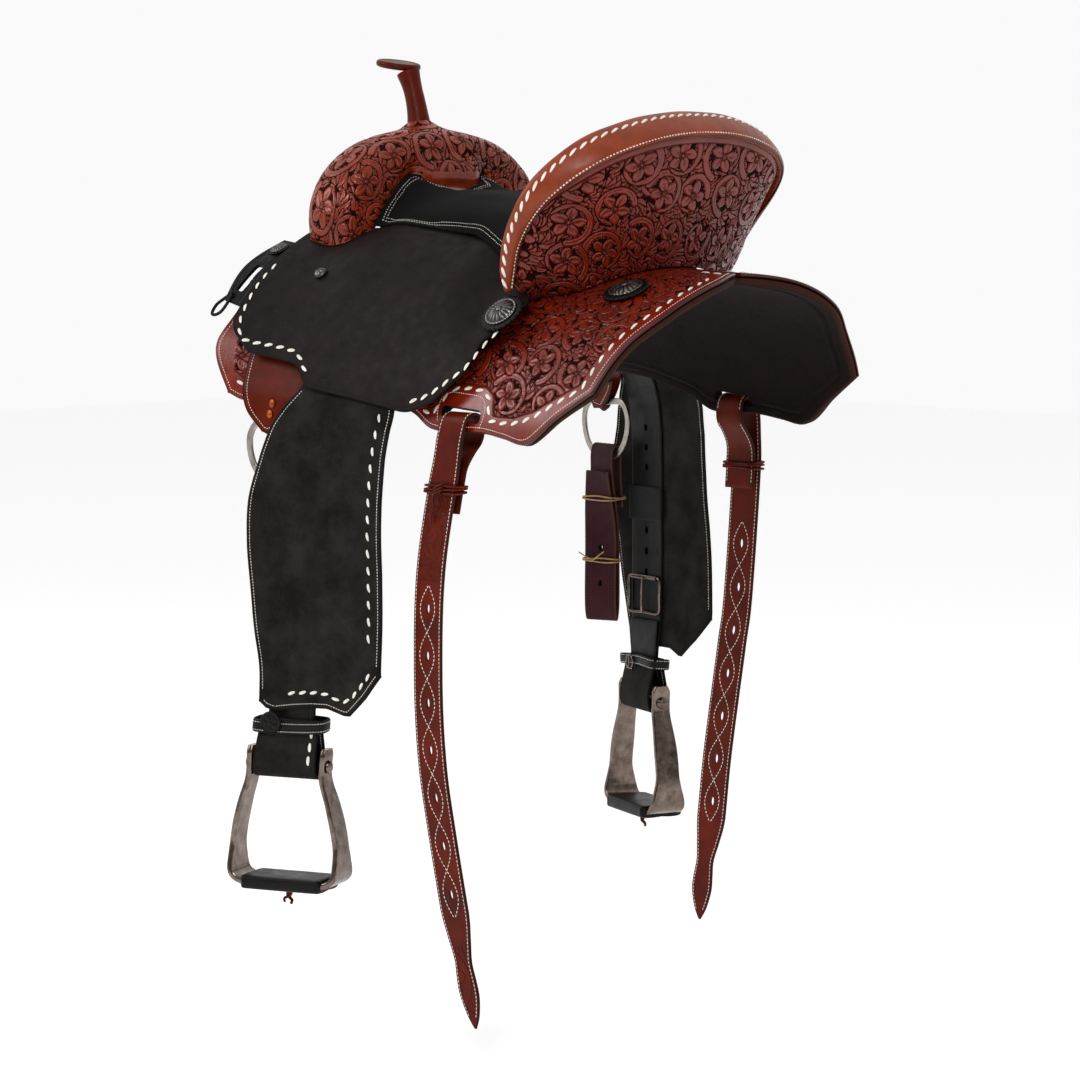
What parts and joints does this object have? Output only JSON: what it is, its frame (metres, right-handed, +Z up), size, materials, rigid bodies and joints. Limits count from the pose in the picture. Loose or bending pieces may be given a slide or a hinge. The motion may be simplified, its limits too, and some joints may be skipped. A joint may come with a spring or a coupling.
{
  "type": "western saddle",
  "caption": "Western barrel saddle with carved skirts, suede seat, tall horn, fenders with stirrups, cinch rings and hanging rear billets.",
  "frame": {"origin": "on the centre line under the middle of the seat, inside the arch that the skirts make over the horse's back", "axes": "+X towards the horse's head (horn), +Y to the near (left) side, +Z up"},
  "size_m": [0.599, 0.6868, 1.093],
  "materials": {
    "leather_carved": "tooled, antiqued red-brown",
    "leather_tan": "smooth russet",
    "leather_black": "black rough-out and smooth",
    "suede": "black suede",
    "lining": "dark brown short nap",
    "tree": "hidden tree",
    "silver": "antiqued silver",
    "nickel": "nickel",
    "aluminium": "satin",
    "copper": "copper",
    "burgundy": "oiled burgundy"
  },
  "bodies": {
    "saddle": {"skirt_left": "leather_carved", "skirt_right": "leather_carved", "skirt_lining_left": "lining", "skirt_lining_right": "lining", "tree_bar_left": "tree", "tree_bar_right": "tree", "seat_jockey_left": "leather_black", "seat_jockey_right": "leather_black", "rigging_plate_left": "leather_tan", "rigging_plate_right": "leather_tan", "rigging_rivet_1_left": "copper", "rigging_rivet_1_right": "copper", "rigging_rivet_2_left": "copper", "rigging_rivet_2_right": "copper", "rear_concho_left": "silver", "rear_concho_right": "silver", "seat_concho_left": "silver", "seat_concho_right": "silver", "jockey_button_left": "silver", "jockey_button_right": "silver", "cantle_roll": "leather_tan", "cantle_back": "leather_carved", "tree_cantle": "tree", "swell_cover": "leather_carved", "tree_fork": "tree", "horn_cover": "leather_tan", "horn_cap": "leather_carved", "seat_cover": "suede", "ground_seat": "leather_tan"},
    "hanging_leather_left": {"fender_left": "leather_black", "stirrup_leather_left": "leather_black", "fender_wrap_left": "leather_black", "hobble_strap_left": "leather_black", "leather_keeper_left": "suede", "leather_buckle_left": "aluminium"},
    "stirrup_left": {"stirrup_left": "aluminium", "stirrup_tread_left": "leather_black", "stirrup_bolt_left": "aluminium"},
    "buckle_tongue_left": {"buckle_tongue_left": "aluminium"},
    "rear_billet_left": {"rear_billet_left": "leather_tan", "billet_tie_left": "leather_tan"},
    "rigging_ring_left": {"rigging_ring_left": "nickel"},
    "hanging_leather_right": {"fender_right": "leather_black", "stirrup_leather_right": "leather_black", "fender_wrap_right": "leather_black", "hobble_strap_right": "leather_black", "leather_keeper_right": "suede", "leather_buckle_right": "aluminium"},
    "stirrup_right": {"stirrup_right": "aluminium", "stirrup_tread_right": "leather_black", "stirrup_bolt_right": "aluminium"},
    "buckle_tongue_right": {"buckle_tongue_right": "aluminium"},
    "rear_billet_right": {"rear_billet_right": "leather_tan", "billet_tie_right": "leather_tan"},
    "rigging_ring_right": {"rigging_ring_right": "nickel"},
    "off_billet": {"off_billet": "burgundy", "off_billet_band": "leather_tan"},
    "latigo_carrier": {"latigo_carrier": "leather_black", "carrier_concho": "silver"}
  },
  "joints": [
    {"name": "leather_swing_left", "type": "hinge", "parent": "saddle", "child": "hanging_leather_left", "pos_m": [0.08733, 0.2555, -0.05], "axis": [0, 1, 0], "range_deg": [-8, 3]},
    {"name": "stirrup_turn_left", "type": "hinge", "parent": "hanging_leather_left", "child": "stirrup_left", "pos_m": [0.11954, 0.29395, -0.508], "axis": [0.9336, 0.3584, 0], "range_deg": [-40, 40]},
    {"name": "tongue_left", "type": "hinge", "parent": "hanging_leather_left", "child": "buckle_tongue_left", "pos_m": [0.11242, 0.2862, -0.396], "axis": [0.9848, 0.1736, 0], "range_deg": [0, 70]},
    {"name": "billet_swing_left", "type": "hinge", "parent": "saddle", "child": "rear_billet_left", "pos_m": [-0.104, 0.241, -0.095], "axis": [0, 1, 0], "range_deg": [-6, 5]},
    {"name": "ring_swing_left", "type": "hinge", "parent": "saddle", "child": "rigging_ring_left", "pos_m": [0.152, 0.2753, -0.117], "axis": [-0.9857, -0.1685, 0], "range_deg": [-2, 5]},
    {"name": "leather_swing_right", "type": "hinge", "parent": "saddle", "child": "hanging_leather_right", "pos_m": [0.0877, -0.2555, -0.05], "axis": [0, 1, 0], "range_deg": [-2, 3]},
    {"name": "stirrup_turn_right", "type": "hinge", "parent": "hanging_leather_right", "child": "stirrup_right", "pos_m": [0.10283, -0.29359, -0.49], "axis": [0.9336, -0.3584, 0], "range_deg": [-40, 40]},
    {"name": "tongue_right", "type": "hinge", "parent": "hanging_leather_right", "child": "buckle_tongue_right", "pos_m": [0.09985, -0.28583, -0.378], "axis": [-0.9848, 0.1736, 0], "range_deg": [0, 70]},
    {"name": "billet_swing_right", "type": "hinge", "parent": "saddle", "child": "rear_billet_right", "pos_m": [-0.104, -0.241, -0.095], "axis": [0, 1, 0], "range_deg": [-5, 6]},
    {"name": "ring_swing_right", "type": "hinge", "parent": "saddle", "child": "rigging_ring_right", "pos_m": [0.152, -0.2753, -0.117], "axis": [0.9857, -0.1685, 0], "range_deg": [0, 5]},
    {"name": "off_billet_swing", "type": "hinge", "parent": "rigging_ring_right", "child": "off_billet", "pos_m": [0.152, -0.2753, -0.183], "axis": [0.9857, -0.1685, 0], "range_deg": [0, 24]},
    {"name": "carrier_lift", "type": "hinge", "parent": "saddle", "child": "latigo_carrier", "pos_m": [0.248, 0.16796, 0.08769], "axis": [1, 0, 0], "range_deg": [0, 30]}
  ]
}
